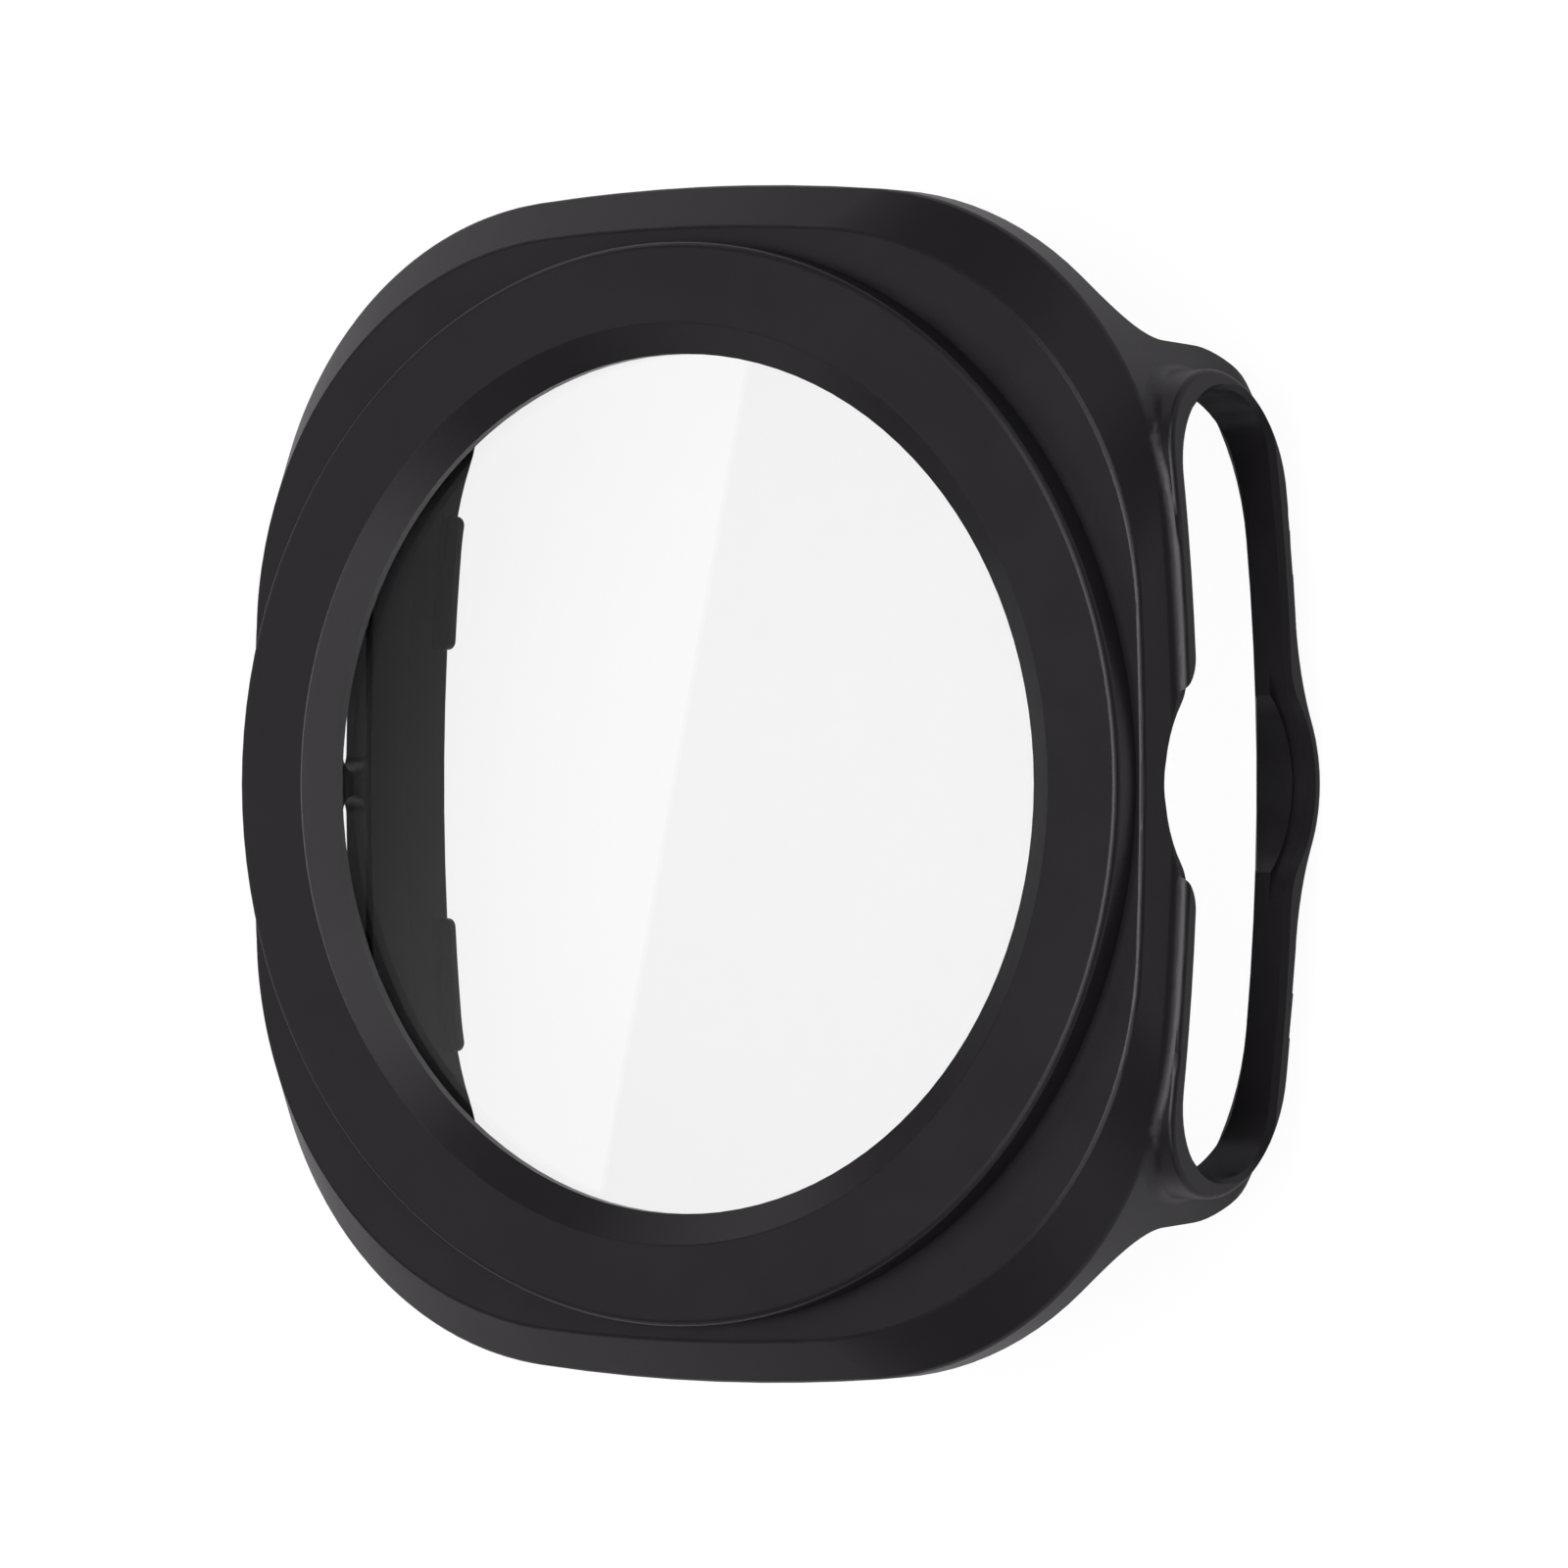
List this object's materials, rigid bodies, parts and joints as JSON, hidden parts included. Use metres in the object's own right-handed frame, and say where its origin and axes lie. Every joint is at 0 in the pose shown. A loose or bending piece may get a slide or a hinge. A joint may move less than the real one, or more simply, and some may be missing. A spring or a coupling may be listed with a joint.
{
  "type": "smartwatch screen protector",
  "caption": "Push-on bumper for a cushion-shaped smartwatch, with a bonded round glass over the dial, a button guard on one side and open strap gaps.",
  "frame": {"origin": "on the axis of the round glass, in the plane of the back rim", "axes": "+Z out through the glass, +Y to 12 o'clock, +X to the button guard at 3 o'clock"},
  "size_m": [0.0481, 0.0504, 0.0133],
  "materials": {
    "shell": "fine satin",
    "glass": "clear, polished",
    "adhesive": "matt black film"
  },
  "bodies": {
    "root": {"bumper_frame": "shell", "glass_lens": "glass", "adhesive_ring": "adhesive"}
  },
  "joints": []
}
